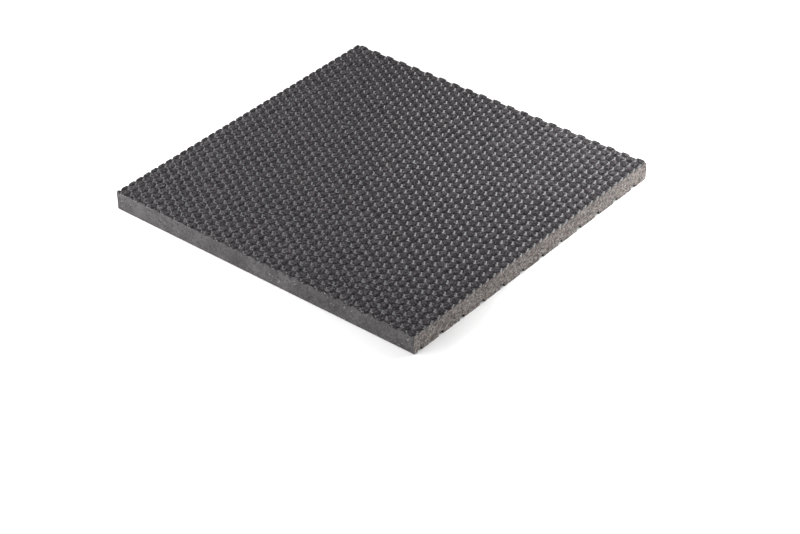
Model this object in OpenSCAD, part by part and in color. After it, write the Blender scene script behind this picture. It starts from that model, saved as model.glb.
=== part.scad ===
// Rubber mat: a nearly square piece of pressed crumb rubber with staggered round
// studs on top and open drainage grooves underneath. It is one solid piece.
// X runs along the rows of studs, Y along the grooves, and Z is up.
// The origin is at the middle of the underside, on the plane that the mat rests on.
// The left side (-X) is the pressed edge. The other three sides are cut, straight
// through whichever studs they meet.

/* [Mat] */
// Length along the rows of studs
mat_length = 300; // [100:1:400]
// Width along the grooves
mat_width = 305; // [100:1:400]
// Thickness from the underside to the floor between the studs
floor_z = 15; // [8:0.5:30]
// Radius of the lower corner of the pressed edge
heel_r = 0.9; // [0.3:0.1:2]

/* [Studs] */
// Distance between the centres of neighbouring studs
stud_pitch = 8.45; // [8:0.01:12]
// Distance from the pressed edge to the first stud of the rows that start with a whole one
first_stud_x = 4; // [1:0.1:8]
// Distance from the rear side to the first of those rows
first_row_y = 6.6; // [1:0.1:8]
// Diameter of a stud at its foot
stud_d = 6.9; // [5.6:0.1:7.6]
// Height of a stud above the floor
stud_h = 2; // [1.4:0.1:3]
// How far below its crown a stud's upright flank ends
flank_drop = 1; // [0.6:0.05:1.2]
// How far below the crown the shoulder lies
shoulder_drop = 0.4; // [0.2:0.05:0.5]
// How far the shoulder lies in from the flank, all round
shoulder_inset = 0.35; // [0.1:0.05:0.8]
// How far the rim of the flat crown lies in from the flank, all round
crown_inset = 1.15; // [0.9:0.05:2]

/* [Grooves] */
// Distance between the middles of neighbouring grooves
groove_pitch = 25; // [12:0.5:60]
// Distance from the pressed edge to the middle of the first groove
first_groove_x = 6.5; // [6.5:0.1:30]
// Width of a groove
groove_w = 5.6; // [2.5:0.1:8]
// Depth of a groove
groove_depth = 3; // [1.5:0.1:5]
// Radius of the two inner corners of a groove
groove_r = 1.1; // [0.2:0.1:1.2]

/* [Hidden] */
$fn = 32;

rubber_black = [0.16, 0.16, 0.17];
left_x = -mat_length / 2;
rear_y = mat_width / 2;
// How far the cutters reach past the faces that they cut
spare = 2;
// How far the studs are sunk in the sheet, so that the two are one body
stud_root = 0.3;
// A stud that would reach over a side by less than this is left off
least_stud = 0.4;
// The rows of a triangular pattern lie closer together than its studs
row_step = stud_pitch * sqrt(3) / 2;
row_count = ceil(mat_width / row_step) + 1;
studs_in_row = ceil(mat_length / stud_pitch) + 1;
// The land beside the last groove is at least as wide as a groove
groove_room = mat_length - first_groove_x - 1.5 * groove_w;
groove_count = floor(groove_room / groove_pitch) + 1;

// Place of a stud: every other row is shifted by half a pitch towards the pressed edge
function stud_x(row, i) = left_x + first_stud_x + (i - abs(row % 2) / 2) * stud_pitch;
function stud_y(row) = rear_y - first_row_y - row * row_step;

// Does a stud here reach over the sheet?
function on_sheet(x, y) =
    max(abs(x) - mat_length / 2, abs(y) - mat_width / 2) < stud_d / 2 - least_stud;

// Cross-section of the sheet in X and Z, with the rounded lower corner of the pressed edge
module sheet_section() {
    translate([left_x + heel_r, 0]) square([mat_length - heel_r, floor_z]);
    translate([left_x, heel_r]) square([mat_length, floor_z - heel_r]);
    translate([left_x + heel_r, heel_r]) circle(heel_r);
}

// Cross-section of one groove, open downwards, with rounded inner corners
module groove_section() {
    side = groove_w / 2;
    translate([-side, -spare]) square([groove_w, spare + groove_depth - groove_r]);
    translate([groove_r - side, -spare]) square([groove_w - 2 * groove_r, spare + groove_depth]);
    for (x = [groove_r - side, side - groove_r])
        translate([x, groove_depth - groove_r]) circle(groove_r);
}

// The grooved sheet without studs
module sheet() {
    rotate([90, 0, 0])
        linear_extrude(height = mat_width, center = true)
            difference() {
                sheet_section();
                for (i = [0 : groove_count - 1])
                    translate([left_x + first_groove_x + i * groove_pitch, 0]) groove_section();
            }
}

// One stud with its foot at the origin: an upright flank, a shoulder and a flat crown
module stud() {
    stud_r = stud_d / 2;
    rotate_extrude()
        polygon([
            [0, -stud_root],
            [stud_r, -stud_root],
            [stud_r, stud_h - flank_drop],
            [stud_r - shoulder_inset, stud_h - shoulder_drop],
            [stud_r - crown_inset, stud_h],
            [0, stud_h]
        ]);
}

// Staggered rows of studs over the whole top, cut off flush with the sides
module studs() {
    intersection() {
        for (row = [-1 : row_count], i = [0 : studs_in_row])
            if (on_sheet(stud_x(row, i), stud_y(row)))
                translate([stud_x(row, i), stud_y(row), floor_z]) stud();
        translate([left_x, -rear_y, floor_z - spare]) cube([mat_length, mat_width, 2 * spare + stud_h]);
    }
}

// The whole mat in one piece
module mat() {
    color(rubber_black) {
        sheet();
        studs();
    }
}

mat();
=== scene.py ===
# %% [markdown]
# # A rubber mat
# This is a nearly square piece of black matting, pressed from crumbs of rubber. Its
# top has rows of round studs, its underside has drainage grooves, one side is the
# pressed edge of the sheet, and the other three sides were cut with a blade.
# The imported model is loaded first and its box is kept, because the piece that is
# made here has to stay inside that box.

import math

import bmesh
import bpy
from mathutils import Matrix, Vector, noise


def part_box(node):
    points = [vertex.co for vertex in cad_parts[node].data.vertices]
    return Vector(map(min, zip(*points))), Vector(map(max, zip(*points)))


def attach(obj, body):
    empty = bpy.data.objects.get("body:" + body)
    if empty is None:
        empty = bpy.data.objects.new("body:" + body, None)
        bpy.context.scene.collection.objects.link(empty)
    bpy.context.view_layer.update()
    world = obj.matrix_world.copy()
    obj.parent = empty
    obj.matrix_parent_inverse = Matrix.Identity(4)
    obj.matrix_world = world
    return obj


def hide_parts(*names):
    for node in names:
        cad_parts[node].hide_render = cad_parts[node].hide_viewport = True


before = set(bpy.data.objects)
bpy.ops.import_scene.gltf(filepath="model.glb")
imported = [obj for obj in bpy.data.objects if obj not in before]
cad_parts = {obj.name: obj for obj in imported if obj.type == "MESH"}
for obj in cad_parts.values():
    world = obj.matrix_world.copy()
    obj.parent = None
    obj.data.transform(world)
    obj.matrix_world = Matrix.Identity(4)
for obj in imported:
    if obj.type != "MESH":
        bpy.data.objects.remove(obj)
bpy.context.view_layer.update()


# %% [markdown]
# ## The sizes
# X runs along the rows of studs, Y along the grooves, and Z is up. The length, width
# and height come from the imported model. The others are the real mat's own sizes, and
# each is written once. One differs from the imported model, which has studs of 2 mm: the
# dips along the far edges in the photograph are as shallow as those of 1.5 mm studs.
# The crowns stay at the same height, so the floor between the studs lies higher here.

# %% The sizes of the sheet
MM = 0.001
MICRON = 0.000001
low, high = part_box("mat")
length, width, thickness = high - low
stud_height = 1.5 * MM
floor_z = thickness - stud_height
print(f"sheet: {length / MM:.1f} x {width / MM:.1f} mm, floor at {floor_z / MM:.1f} mm")

# %% [markdown]
# ## Node maths that reads like arithmetic
# Both the studs and the finishes are made of nodes. Adding every Math node by hand
# hides what is worked out, so one small class wraps a socket: plus, minus, times and
# the other signs on it add the Math node and its links. Its method `node` makes any
# other node from its type, its settings and what goes into its sockets.


# %% A socket that can be used in arithmetic
class Flow:
    """A socket of a node tree, or only the tree where there is no socket yet."""

    def __init__(self, tree, socket=None):
        self.tree, self.socket = tree, socket

    def node(self, kind, settings=None, sockets=None, out=0):
        """A new node. The settings come first, because they can change its sockets."""
        made = self.tree.nodes.new(kind)
        for name, value in (settings or {}).items():
            setattr(made, name, value)
        for name, value in (sockets or {}).items():
            if isinstance(value, Flow):
                self.tree.links.new(value.socket, made.inputs[name])
            else:
                made.inputs[name].default_value = value
        return Flow(self.tree, made.outputs[out] if len(made.outputs) else None)

    def other(self, out):
        """Another output of the node that this socket is on."""
        return Flow(self.tree, self.socket.node.outputs[out])

    def maths(self, operation, *terms):
        return self.node("ShaderNodeMath", {"operation": operation}, dict(enumerate(terms)))

    def __add__(self, other): return self.maths("ADD", self, other)
    def __radd__(self, other): return self.maths("ADD", other, self)
    def __sub__(self, other): return self.maths("SUBTRACT", self, other)
    def __rsub__(self, other): return self.maths("SUBTRACT", other, self)
    def __mul__(self, other): return self.maths("MULTIPLY", self, other)
    def __rmul__(self, other): return self.maths("MULTIPLY", other, self)
    def __truediv__(self, other): return self.maths("DIVIDE", self, other)
    def __rtruediv__(self, other): return self.maths("DIVIDE", other, self)
    def __mod__(self, other): return self.maths("FLOORED_MODULO", self, other)
    def __pow__(self, other): return self.maths("POWER", self, other)
    def __gt__(self, other): return self.maths("GREATER_THAN", self, other)

    def clip(self, least, most):
        return self.maths("MINIMUM", self.maths("MAXIMUM", self, least), most)


# %% [markdown]
# ## One stud on its own tile of floor
# A press forms the studs in a triangular pattern, so each stud sits in the middle of
# a hexagon of floor, and the hexagons fill the top without gaps. A stud could be a
# cylinder with a bevel, but then it only touches the floor. Here a flat grid is rolled
# up into rings: the first rings follow a squarish dome, the next one is the toe round
# its foot, and the last one is the hexagon, so that stud and floor are one skin. The
# crown is round and the foot is a rounded hexagon, which leaves an even channel between
# two studs. With twelve faces round it, a stud stays at about a hundred triangles.

# %% The tile
DIVISIONS = 12
DOME_RINGS = 3
SQUARENESS = 4  # 2 is a round dome, and more gives a flatter top and steeper flanks
SIXTH = math.tau / 6  # the turn that one side of a hexagon takes


def stud_tile(flow, size):
    """One stud and the hexagon of floor round it, centred on the origin."""
    rings = DOME_RINGS + 2
    grid = flow.node("GeometryNodeMeshGrid", {}, {
        "Size X": float(DIVISIONS), "Size Y": float(rings),
        "Vertices X": DIVISIONS + 1, "Vertices Y": rings + 1,
    })
    spot = flow.node("ShaderNodeSeparateXYZ", {}, {0: flow.node("GeometryNodeInputPosition")})
    turn = (spot + DIVISIONS / 2) * (math.tau / DIVISIONS)
    ring = spot.other(1) + rings / 2
    rise = ring.clip(0, DOME_RINGS) * (math.pi / 2 / DOME_RINGS)
    foot = size["Stud diameter"] / 2
    spread = rise.maths("SINE", rise).clip(0, 1) ** (2 / SQUARENESS)
    height = size["Stud height"] * rise.maths("COSINE", rise).clip(0, 1) ** (2 / SQUARENESS)
    off_flat = (turn + SIXTH / 2) % SIXTH - SIXTH / 2
    corner = 1 / turn.maths("COSINE", off_flat)
    dome = foot * spread * (1 + (corner - 1) * spread * size["Angularity"])
    is_rim = ring > DOME_RINGS + 1.5
    is_toe = (ring > DOME_RINGS + 0.5) - is_rim
    radius = dome + is_toe * size["Toe"] + is_rim * (size["Pitch"] / 2 * corner - dome)
    place = flow.node("ShaderNodeCombineXYZ", {}, {
        0: radius * turn.maths("COSINE", turn),
        1: radius * turn.maths("SINE", turn),
        2: height,
    })
    rolled = flow.node("GeometryNodeSetPosition", {}, {"Geometry": grid, "Position": place})
    return flow.node("GeometryNodeMergeByDistance", {}, {"Geometry": rolled, "Distance": MICRON})


# %% [markdown]
# ## Where the tiles go
# Neighbouring rows lie closer together than neighbouring studs, by half the square
# root of three, and every other row is shifted by half a pitch. The number of a point
# is enough to work out its row and column, so the pattern stays right at any size. It
# starts one row and one column outside the sheet, and is cut to size afterwards, as
# the real mat was.

# %% The lattice of points
SPARE = 3  # rows and columns beyond those that fit on the sheet
NUDGE = 0.0001  # keeps a whole number from being rounded down to the one below


def stud_places(flow, size):
    """One point for each tile, on the floor between the studs."""
    row_step = size["Pitch"] * (math.sqrt(3) / 2)
    columns = flow.maths("CEIL", size["Length"] / size["Pitch"]) + SPARE
    rows = flow.maths("CEIL", size["Width"] / row_step) + SPARE
    points = flow.node("GeometryNodePoints", {}, {"Count": rows * columns})
    number = flow.node("GeometryNodeInputIndex")
    row = flow.maths("FLOOR", number / columns + NUDGE) - 1
    column = number - (row + 1) * columns - 1
    shifted = column - row % 2 / 2
    place = flow.node("ShaderNodeCombineXYZ", {}, {
        0: size["First stud X"] + shifted * size["Pitch"] - size["Length"] / 2,
        1: size["Width"] / 2 - size["First row Y"] - row * row_step,
        2: size["Floor height"],
    })
    return flow.node("GeometryNodeSetPosition", {}, {"Geometry": points, "Position": place})


# %% [markdown]
# ## The whole studded face as one tree
# The tiles are instances on the points. Crumb rubber doesn't fill a mould evenly, so
# each stud is a little lower than full height, by a random share with a fixed seed.
# The instances are made real and joined where the hexagons meet.

# %% The tree
SIZES = ("Length", "Width", "Pitch", "First stud X", "First row Y", "Stud diameter",
         "Stud height", "Angularity", "Toe", "Floor height", "Unevenness")
SEED = 4
TILE_GAP = 0.02 * MM  # the corners of neighbouring tiles meet within this


def studded_face_tree():
    tree = bpy.data.node_groups.new("studded_face", "GeometryNodeTree")
    for name in SIZES:
        tree.interface.new_socket(name, in_out="INPUT", socket_type="NodeSocketFloat")
    tree.interface.new_socket("Finish", in_out="INPUT", socket_type="NodeSocketMaterial")
    tree.interface.new_socket("Geometry", in_out="OUTPUT", socket_type="NodeSocketGeometry")
    flow = Flow(tree)
    entry = flow.node("NodeGroupInput")
    size = {name: entry.other(name) for name in (*SIZES, "Finish")}
    chance = flow.node("FunctionNodeRandomValue", {"data_type": "FLOAT"},
                       {2: 0.0, 3: 1.0, "Seed": SEED}, out=1)
    share_of_height = 1 - chance * size["Unevenness"]
    lower = flow.node("ShaderNodeCombineXYZ", {}, {0: 1.0, 1: 1.0, 2: share_of_height})
    face = flow.node("GeometryNodeInstanceOnPoints", {}, {
        "Points": stud_places(flow, size), "Instance": stud_tile(flow, size), "Scale": lower,
    })
    face = flow.node("GeometryNodeRealizeInstances", {}, {"Geometry": face})
    face = flow.node("GeometryNodeMergeByDistance", {}, {"Geometry": face, "Distance": TILE_GAP})
    face = flow.node("GeometryNodeSetShadeSmooth", {}, {"Geometry": face})
    face = flow.node("GeometryNodeSetMaterial", {}, {"Geometry": face, "Material": size["Finish"]})
    flow.node("NodeGroupOutput", {}, {0: face})
    return tree


def grown_mesh(tree, values):
    """What a tree makes from these input values, as a plain mesh."""
    host = bpy.data.objects.new("host", bpy.data.meshes.new("host"))
    bpy.context.scene.collection.objects.link(host)
    modifier = host.modifiers.new("grow", "NODES")
    modifier.node_group = tree
    for item in tree.interface.items_tree:
        if item.in_out == "INPUT":
            modifier[item.identifier] = values[item.name]
    graph = bpy.context.evaluated_depsgraph_get()
    mesh = bpy.data.meshes.new_from_object(host.evaluated_get(graph))
    host.modifiers.remove(modifier)
    bpy.data.objects.remove(host)
    return mesh


# %% [markdown]
# ## The finishes: how crumb rubber shows its grain
# All finishes share one idea. A Voronoi pattern at the size of the crumbs gives every
# crumb a shade of its own and a height of its own, and finer noise roughens it. The
# patterns read Object coordinates in metres, so a crumb has its real size everywhere.
# A few crumbs are pale bits of other rubber, as in most mats of recycled tyres.


# %% A new finish, and a place on its surface
def new_finish(name):
    finish = bpy.data.materials.new(name)
    finish.use_nodes = True
    finish.node_tree.nodes.clear()
    return finish, Flow(finish.node_tree)


def surface_place(flow):
    """Where a point of the surface lies, in metres."""
    return flow.node("ShaderNodeTexCoord", out="Object")


def height_of(flow, place):
    return flow.node("ShaderNodeSeparateXYZ", {}, {0: place}).other(2)


# %% Crumbs and clouds
def crumbs(flow, place, across):
    """Two random numbers for each crumb of this size, and the distance from its middle."""
    cell = flow.node("ShaderNodeTexVoronoi", {}, {"Vector": place, "Scale": 1 / across})
    shades = flow.node("ShaderNodeSeparateColor", {}, {0: cell.other("Color")})
    return shades, shades.other(1), cell


def clouds(flow, place, scale, detail, roughness=0.5):
    """Soft noise between 0 and 1."""
    return flow.node("ShaderNodeTexNoise", {}, {
        "Vector": place, "Scale": scale, "Detail": detail, "Roughness": roughness,
    })


# %% Shares between 0 and 1
def few(chance, share):
    """1 on this share of the crumbs and 0 on the others."""
    return chance > 1 - share


def fade(value, start, end):
    """0 up to the start, 1 from the end on, and even in between."""
    return ((value - start) / (end - start)).clip(0, 1)


def stretch(value, contrast):
    """More contrast round the middle of 0 to 1."""
    return ((value - 0.5) * contrast + 0.5).clip(0, 1)


# %% Colour, bump and shader
def blend(flow, share, first, second):
    """A colour between two colours."""
    sockets = {0: share}
    for number, colour in ((6, first), (7, second)):
        sockets[number] = colour if isinstance(colour, Flow) else (*colour, 1.0)
    return flow.node("ShaderNodeMix", {"data_type": "RGBA"}, sockets, out=2)


def relief(flow, height, depth):
    """A bump of this depth in metres from a height between 0 and 1."""
    return flow.node("ShaderNodeBump", {}, {"Height": height, "Distance": depth, "Strength": 1.0})


def finish_off(flow, colour, normal, **sockets):
    """The shader and the output. A socket's name is written with _ for a space."""
    named = {name.replace("_", " "): value for name, value in sockets.items()}
    shader = flow.node("ShaderNodeBsdfPrincipled", {}, {
        "Base Color": colour, "Normal": normal, **named,
    })
    flow.node("ShaderNodeOutputMaterial", {}, {0: shader})


# %% [markdown]
# ## The pressed top
# Against the hot plate of the press the rubber is skinned over. The floor between the
# studs is the smoothest part and shines where a light stands behind it, while the studs
# are dull, dusty and mottled. The floor is also the darkest part, partly from its bare
# black skin and partly from painted shade between the studs. Two materials would need a
# sharp line between them. One is enough: the height above the floor fades out the gloss,
# which lies on top as a coat, and the painted shade, and it fades the dust and the grain in.

# %% Finish of the studded top
# painted shade: the floor's black is partly the rubber's own skin and partly shade between the
# studs
FLOOR_BLACK_AND_SHADE = (0.006, 0.0054, 0.006)
STUD_DARK, STUD_DUSTY = (0.004, 0.0036, 0.004), (0.12, 0.108, 0.118)
STUD_PALE_BIT = (0.16, 0.15, 0.14)


def pressed_top():
    finish, flow = new_finish("pressed_top")
    place = surface_place(flow)
    shade, chance, near = crumbs(flow, place, 1.0 * MM)
    fine = clouds(flow, place, 800.0, 2.0, 0.6)
    risen = (height_of(flow, place) - floor_z) / stud_height
    mottle = (shade * 0.4 + stretch(fine, 3.5) * 0.6) ** 2
    dusty = blend(flow, mottle, STUD_DARK, STUD_DUSTY)
    above_floor = fade(risen, 0.05, 0.3)
    # painted shade: the floor between the studs is painted darker than the dusty studs
    colour = blend(flow, above_floor, FLOOR_BLACK_AND_SHADE, dusty)
    colour = blend(flow, few(chance, 0.0005), colour, STUD_PALE_BIT)
    grain = (fine * 0.8 + shade * 0.3 - near * 0.3) * (above_floor * 0.8 + 0.2)
    finish_off(
        flow, colour, relief(flow, grain, 0.5 * MM),
        Roughness=0.8, Specular_IOR_Level=0.1,
        Coat_Weight=1 - fade(risen, 0.15, 0.35), Coat_Roughness=0.2,
    )
    return finish


# %% [markdown]
# ## The cut sides
# A blade goes between the crumbs as much as through them, so a cut side is rough and
# shows every crumb. Cut rubber is greyer than skinned rubber, some crumbs are brownish,
# and the joints between them are dark.

# %% Finish of the cut sides
CUT_DARK, CUT_PALE = (0.06, 0.054, 0.051), (0.43, 0.39, 0.365)
CUT_BROWNISH, CUT_PALE_BIT = (0.28, 0.2, 0.18), (0.6, 0.58, 0.54)
CUT_JOINT = (0.03, 0.029, 0.028)


def cut_crumb():
    finish, flow = new_finish("cut_crumb")
    place = surface_place(flow)
    shade, chance, near = crumbs(flow, place, 1.4 * MM)
    small, small_chance, _ = crumbs(flow, place, 0.6 * MM)
    fine = clouds(flow, place, 2500.0, 2.0)
    tone = (shade * 0.6 + small * 0.4) ** 1.4
    colour = blend(flow, tone, CUT_DARK, CUT_PALE)
    colour = blend(flow, few(chance, 0.2) * 0.4, colour, CUT_BROWNISH)
    colour = blend(flow, few(small_chance, 0.015), colour, CUT_PALE_BIT)
    colour = blend(flow, fade(near, 0.5, 0.8) * 0.66, colour, CUT_JOINT)
    rough = shade * 0.5 + small * 0.25 + fine * 0.25 - near * 0.4
    finish_off(flow, colour, relief(flow, rough, 0.6 * MM),
               Roughness=0.9, Specular_IOR_Level=0.25)
    return finish


# %% [markdown]
# ## The pressed edge
# This side was formed by the wall of the mould. It is flat and closed like the top,
# but it has no gloss. Dust lies on it in soft clouds, with a fine grain of dark crumbs
# and a few pale ones that came to the surface.

# %% Finish of the pressed edge
EDGE_DARK, EDGE_DUSTY = (0.006, 0.0056, 0.006), (0.1, 0.093, 0.095)
EDGE_BLACK_CRUMB, EDGE_PALE_BIT = (0.014, 0.013, 0.014), (0.3, 0.3, 0.3)


def pressed_edge():
    finish, flow = new_finish("pressed_edge")
    place = surface_place(flow)
    shade, chance, near = crumbs(flow, place, 1.3 * MM)
    small, small_chance, _ = crumbs(flow, place, 0.7 * MM)
    dust = clouds(flow, place, 60.0, 4.0)
    tone = stretch(dust, 2.5) * 0.4 + shade * 0.3 + small * 0.3
    colour = blend(flow, tone, EDGE_DARK, EDGE_DUSTY)
    colour = blend(flow, few(chance, 0.15) * 0.7, colour, EDGE_BLACK_CRUMB)
    colour = blend(flow, few(small_chance, 0.004), colour, EDGE_PALE_BIT)
    rough = shade * 0.5 + small * 0.5 - near * 0.3
    finish_off(flow, colour, relief(flow, rough, 0.2 * MM),
               Roughness=0.75, Specular_IOR_Level=0.35)
    return finish


# %% [markdown]
# ## The underside
# The lands are pressed against a rough plate and show their crumbs, with a pale bit
# here and there. The grooves are formed by smooth ribs, so their walls and roofs are
# closed, without joints or pale bits, and their colour is darker and calmer than the
# lands'. Again the height tells which is which.

# %% Finish of the underside
LAND_DARK, LAND_GREY = (0.014, 0.0138, 0.0142), (0.15, 0.143, 0.138)
LAND_JOINT, LAND_PALE_BIT = (0.01, 0.0098, 0.01), (0.24, 0.24, 0.23)


def grooved_underside():
    finish, flow = new_finish("grooved_underside")
    place = surface_place(flow)
    shade, chance, near = crumbs(flow, place, 1.5 * MM)
    small, _, _ = crumbs(flow, place, 0.7 * MM)
    in_groove = fade(height_of(flow, place), 0, 0.3 * MM)
    on_land = 1 - in_groove
    calmer_in_groove = 1 - in_groove * 0.8
    tone = (shade * 0.5 + small * 0.5) ** 1.6 * calmer_in_groove
    colour = blend(flow, tone, LAND_DARK, LAND_GREY)
    colour = blend(flow, fade(near, 0.4, 0.7) * 0.75 * on_land, colour, LAND_JOINT)
    colour = blend(flow, few(chance, 0.004) * on_land, colour, LAND_PALE_BIT)
    rough = (shade * 0.5 + small * 0.5 - near * 0.5) * calmer_in_groove
    finish_off(flow, colour, relief(flow, rough, 0.5 * MM),
               Roughness=0.75, Specular_IOR_Level=0.3)
    return finish


# %% Make the four finishes
TOP, CUT, EDGE, UNDER = range(4)
finishes = [pressed_top(), cut_crumb(), pressed_edge(), grooved_underside()]
print("finishes:", [finish.name for finish in finishes])

# %% [markdown]
# ## Growing the face and cutting it to size
# The face is grown from its tree and turned into a plain mesh. Four cuts then trim it
# to the sheet's size, straight through the studs in their way, as the knife did on the
# real mat.

# %% The studded face
face_mesh = grown_mesh(studded_face_tree(), {
    "Length": length, "Width": width, "Pitch": 8.45 * MM,
    "First stud X": 4.0 * MM, "First row Y": 6.6 * MM,
    "Stud diameter": 6.9 * MM, "Stud height": stud_height, "Angularity": 1.0,
    "Toe": 0.3 * MM, "Floor height": floor_z, "Unevenness": 0.08, "Finish": finishes[TOP],
})
mat = bmesh.new()
mat.from_mesh(face_mesh)
bpy.data.meshes.remove(face_mesh)
print("grown face:", len(mat.faces), "faces")

# %% The four cuts
left, right, front, rear = -length / 2, length / 2, -width / 2, width / 2
SIDES = ((0, left), (0, right), (1, front), (1, rear))  # axis across the side, and where it is
for axis, at in SIDES:
    side = Vector((0, 0, 0))
    side[axis] = at
    bmesh.ops.bisect_plane(mat, geom=mat.verts[:] + mat.edges[:] + mat.faces[:], dist=MICRON,
                           plane_co=side, plane_no=side, clear_outer=True)
for skin in mat.faces:
    skin.material_index = TOP
print("trimmed face:", len(mat.faces), "faces")

# %% [markdown]
# ## A shell under the face
# The underside and the sides could be built straight onto the face, but every cut
# there would walk through its ninety thousand faces. So they are made as a shell of
# their own, which starts from a copy of the face's rim, and both are joined at the end.

# %% Copy the rim
shell = bmesh.new()
twins = {}
for edge in mat.edges:
    if edge.is_boundary:
        for v in edge.verts:
            if v not in twins:
                twins[v] = shell.verts.new(v.co)
        shell.edges.new([twins[v] for v in edge.verts])
rim = list(twins.values())
print("rim:", len(rim), "points")

# %% [markdown]
# ## The underside with its grooves
# The underside has the same cross-section from front to rear, so one line across the
# mat is enough: round the heel of the pressed edge, and along the lands, up and down
# in each groove. That line is drawn at the rear and at the front, and the strips
# between the two are the underside.

# %% The line across the underside
groove_pitch, first_groove = 25.0 * MM, 6.5 * MM
groove_width, groove_depth, groove_radius = 5.6 * MM, 3.0 * MM, 1.1 * MM
heel_radius = 0.9 * MM
ARC_STEPS = 4


def arc(x, z, radius, start, end):
    """Points round the middle x, z, from one angle to the other."""
    turns = [start + (end - start) * step / ARC_STEPS for step in range(ARC_STEPS + 1)]
    return [(x + radius * math.cos(turn), z + radius * math.sin(turn)) for turn in turns]


line = arc(left + heel_radius, heel_radius, heel_radius, math.pi, 1.5 * math.pi)
half_groove, arc_height = groove_width / 2, groove_depth - groove_radius
groove_x = left + first_groove
groove_count = 0
while groove_x + half_groove + groove_width < right:  # the last land is no narrower than a groove
    near_wall, far_wall = groove_x - half_groove, groove_x + half_groove
    line.append((near_wall, 0))
    line += arc(near_wall + groove_radius, arc_height, groove_radius, math.pi, math.pi / 2)
    line += arc(far_wall - groove_radius, arc_height, groove_radius, math.pi / 2, 0)
    line.append((far_wall, 0))
    groove_x += groove_pitch
    groove_count += 1
line.append((right, 0))
print("grooves:", groove_count)

# %% The strips between the rear and the front
rear_line = [shell.verts.new((x, rear, z)) for x, z in line]
front_line = [shell.verts.new((x, front, z)) for x, z in line]
for step in range(len(line) - 1):
    behind, ahead = rear_line[step:step + 2], front_line[step:step + 2]
    shell.faces.new((*behind, *reversed(ahead))).material_index = UNDER
print("underside:", len(shell.faces), "strips")

# %% [markdown]
# ## Closing the sides
# Each side is a flat face between the studded rim and the line of the underside. Four
# upright edges join the corners, and then the open edges that lie in a side's plane
# are exactly the outline of that side.


# %% The four sides
def rim_corner(x, y):
    reach = 10 * MICRON
    return next(v for v in rim if abs(v.co.x - x) < reach and abs(v.co.y - y) < reach)


for x, y, foot in ((left, rear, rear_line[0]), (right, rear, rear_line[-1]),
                   (left, front, front_line[0]), (right, front, front_line[-1])):
    shell.edges.new((rim_corner(x, y), foot))

sides = {}
for axis, at in SIDES:
    outline = [e for e in shell.edges if len(e.link_faces) < 2
               and all(abs(v.co[axis] - at) < 2 * MICRON for v in e.verts)]
    sides[axis, at] = bmesh.ops.contextual_create(shell, geom=outline)["faces"]
    for face in sides[axis, at]:
        face.material_index, face.smooth = EDGE if at == left else CUT, False
    print(f"side at {at / MM:.1f} mm: {len(outline)} edges, {len(sides[axis, at])} face")

# %% [markdown]
# ## Crumbled sides
# Where the blade tore crumbs out, a cut side has real pits of a few tenths of a
# millimetre, and its lower rim is ragged. Bump alone leaves that rim straight. So each
# cut side is divided into small squares and their corners are pushed in, never out,
# by noise of the crumbs' size. Only the strip along the studs stays whole.

# %% The size and depth of the pits
SQUARE = 1.3 * MM
PIT_DEPTH = 0.45 * MM
FINE_WAVES, WIDE_WAVES = 1.7, 0.45  # waves of the noise in a square's width


def pit_share(place):
    """How deep the pit is at this place, as a share of the deepest."""
    fine = noise.noise(place / SQUARE * FINE_WAVES)
    wide = noise.noise(place / SQUARE * WIDE_WAVES)
    return min(1.0, abs(fine + 0.5 * wide) * 1.4)


print("pits: up to", PIT_DEPTH / MM, "mm deep")


# %% Divide a side and push its corners in
def slice_faces(faces, point, normal):
    """Cut these faces by a plane, and nothing else."""
    edges = {e for f in faces for e in f.edges}
    verts = {v for f in faces for v in f.verts}
    cut = bmesh.ops.bisect_plane(shell, geom=[*faces, *edges, *verts], dist=MICRON / 10,
                                 plane_co=point, plane_no=normal)
    return [part for part in cut["geom"] if isinstance(part, bmesh.types.BMFace)]


def crumble(axis, at):
    """The squares of a cut side, with their corners pushed in."""
    along = 1 - axis
    half = (length, width)[along] / 2
    direction = Vector([float(i == along) for i in range(3)])
    upwards = Vector((0, 0, 1))
    rows = round(floor_z / SQUARE)
    top_row = floor_z * (rows - 0.5) / rows
    parts = slice_faces(sides[axis, at], upwards * top_row, upwards)
    uncut = [f for f in parts if f.calc_center_bounds().z < top_row]
    squares = []
    count = round(2 * half / SQUARE)
    for step in range(1, count):
        limit = -half + 2 * half * step / count
        parts = slice_faces(uncut, direction * limit, direction)
        squares += [f for f in parts if f.calc_center_bounds()[along] < limit]
        uncut = [f for f in parts if f.calc_center_bounds()[along] >= limit]
    squares += uncut
    for step in range(1, rows):
        squares = slice_faces(squares, upwards * (floor_z * (step - 0.5) / rows), upwards)
    inward = Vector([-math.copysign(1, at) * float(i == axis) for i in range(3)])
    corners = {v for f in squares for v in f.verts if abs(abs(v.co[along]) - half) > 10 * MICRON}
    for v in corners:
        v.co += inward * PIT_DEPTH * pit_share(v.co)
    return squares


for axis, at in SIDES[1:]:
    print("crumbled side:", len(crumble(axis, at)), "faces")

# %% [markdown]
# ## The mat as one object
# The shell is joined to the face where their rims lie on each other. Before the mesh
# becomes an object, the edges that lack two faces are counted and printed.
# The object sits at the origin, and its place is in its mesh.

# %% Join the face and the shell
shell_mesh = bpy.data.meshes.new("shell")
shell.to_mesh(shell_mesh)
shell.free()
mat.from_mesh(shell_mesh)
bpy.data.meshes.remove(shell_mesh)
open_rim = [v for v in mat.verts if v.is_boundary]
bmesh.ops.remove_doubles(mat, verts=open_rim, dist=MICRON / 10)
bmesh.ops.recalc_face_normals(mat, faces=mat.faces[:])
open_edges = sum(len(e.link_faces) != 2 for e in mat.edges)
triangles = sum(len(f.verts) - 2 for f in mat.faces)
print(f"open edges: {open_edges}, triangles: {triangles}")
print(f"volume: {mat.calc_volume() * 1e6:.1f} cubic centimetres")

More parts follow.
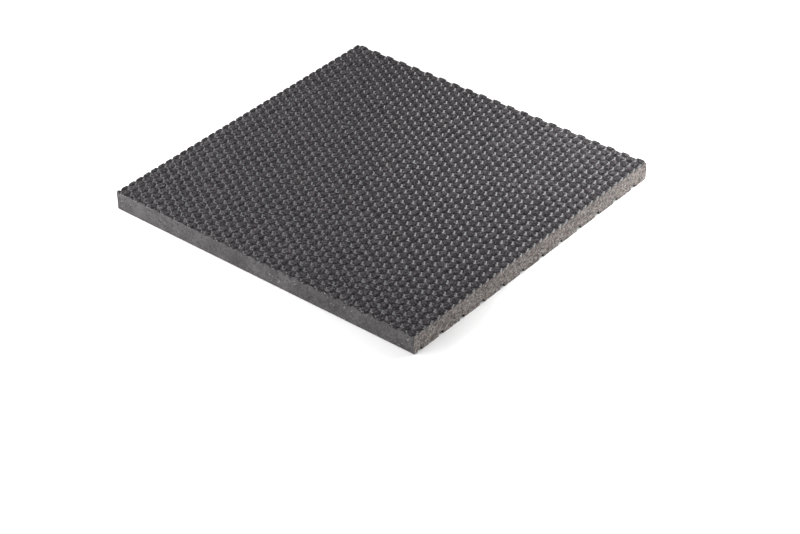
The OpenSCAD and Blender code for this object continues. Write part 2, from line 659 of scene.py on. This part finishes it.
# %% The object
mat_mesh = bpy.data.meshes.new("studded_mat")
mat.to_mesh(mat_mesh)
mat.free()
for finish in finishes:
    mat_mesh.materials.append(finish)
studded_mat = bpy.data.objects.new("studded_mat", mat_mesh)
bpy.context.scene.collection.objects.link(studded_mat)
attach(studded_mat, "root")
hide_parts("mat")
print("object:", studded_mat.name, "with", len(mat_mesh.polygons), "faces")

# %% [markdown]
# ## The floor
# The mat lies on a plain white floor, wide enough to fill the picture. It is a stage,
# not a part of the mat, and one flat face does.

# %% The floor
FLOOR_HALF = 6.0
QUARTERS = ((-1, -1), (1, -1), (1, 1), (-1, 1))
ground_mesh = bpy.data.meshes.new("ground")
ground_mesh.from_pydata([(x * FLOOR_HALF, y * FLOOR_HALF, 0) for x, y in QUARTERS],
                        [], [(0, 1, 2, 3)])
ground = bpy.data.objects.new("ground", ground_mesh)
bpy.context.scene.collection.objects.link(ground)
ground_finish, flow = new_finish("white_floor")
floor_shader = flow.node("ShaderNodeBsdfPrincipled", {}, {
    "Base Color": (0.9, 0.9, 0.9, 1), "Roughness": 0.9,
})
flow.node("ShaderNodeOutputMaterial", {}, {0: floor_shader})
ground_mesh.materials.append(ground_finish)
print("floor:", 2 * FLOOR_HALF, "m square")

# %% [markdown]
# ## The light
# Two softboxes stand behind the mat, just where the camera sees their mirror image in
# the level floor between the studs, and they make the bright dots. A third one stands
# to the left of them. It is mirrored only by the rounded toes of the studs, and links
# the dots into zigzag lines on the left half. A grid narrows its beam, so that hardly
# any of it falls on the right half. One softbox on each side lights the pressed edge
# and the cut side, a small one brightens the right corner, and the pale room does the
# rest.


# %% The softboxes
def softbox(name, place, wide, high, watts, towards=(0, 0, 0), beam=180):
    """An oblong lamp. A beam narrower than 180 degrees is a softbox with a grid on it."""
    lamp = bpy.data.lights.new(name, "AREA")
    lamp.shape, lamp.size, lamp.size_y, lamp.energy = "RECTANGLE", wide, high, watts
    lamp.spread = math.radians(beam)
    holder = bpy.data.objects.new(name, lamp)
    holder.location = place
    facing = (Vector(towards) - Vector(place)).to_track_quat("-Z", "Y")
    holder.rotation_euler = facing.to_euler()
    bpy.context.scene.collection.objects.link(holder)
    print(f"{name}: {wide} x {high} m, {watts} W")


softbox("back_softbox", (1.13, 0.93, 0.98), 0.9, 0.45, 3.2)
softbox("right_back_softbox", (1.30, 0.75, 0.97), 0.5, 0.4, 2.5)
softbox("rear_left_softbox", (-0.388, 0.833, 0.771), 0.8, 0.35, 1.8,
        towards=(-0.3, 0.35, 0), beam=54)
softbox("left_softbox", (-0.85, 0.50, 0.40), 1.4, 0.45, 15)
softbox("right_softbox", (0.5, -0.4, 0.45), 0.4, 0.4, 5, towards=(right, front, 0))
softbox("right_corner_softbox", (0.42, -0.14, 0.40), 0.2, 0.2, 0.27,
        towards=(right + 0.01, front + 0.01, 0), beam=34)

# %% The room
room = bpy.data.worlds.new("room")
room.use_nodes = True
room_light = room.node_tree.nodes["Background"].inputs
room_light["Color"].default_value = (1, 1, 1, 1)
room_light["Strength"].default_value = 0.5
bpy.context.scene.world = room
bpy.context.scene.view_settings.view_transform = "Standard"
print("room light:", room_light["Strength"].default_value)

# %% [markdown]
# ## The camera
# Its place, aim and tilt were worked out from the four corners of the mat in the
# photograph, for a 100 mm lens on a 36 mm wide frame. A lens of 100.6 mm and a shift of
# about a pixel then bring the corners fully into line.

# %% The camera
camera_place = Vector((-1.1532, -0.9650, 1.0027))
aim = Vector((0.62829, 0.5163, -0.58197)).normalized()
sideways = aim.cross(Vector((0.45413, 0.364, 0.81319))).normalized()
picture_up = sideways.cross(aim)
turned = Matrix((sideways, picture_up, -aim)).transposed().to_4x4()
lens = bpy.data.cameras.new("camera")
lens.lens, lens.sensor_width = 100.6, 36
lens.shift_x, lens.shift_y = -0.0017, 0.0006
camera = bpy.data.objects.new("camera", lens)
camera.matrix_world = Matrix.Translation(camera_place) @ turned
bpy.context.scene.collection.objects.link(camera)
bpy.context.scene.camera = camera
print("camera:", round(camera_place.length, 2), "m from the middle of the mat")
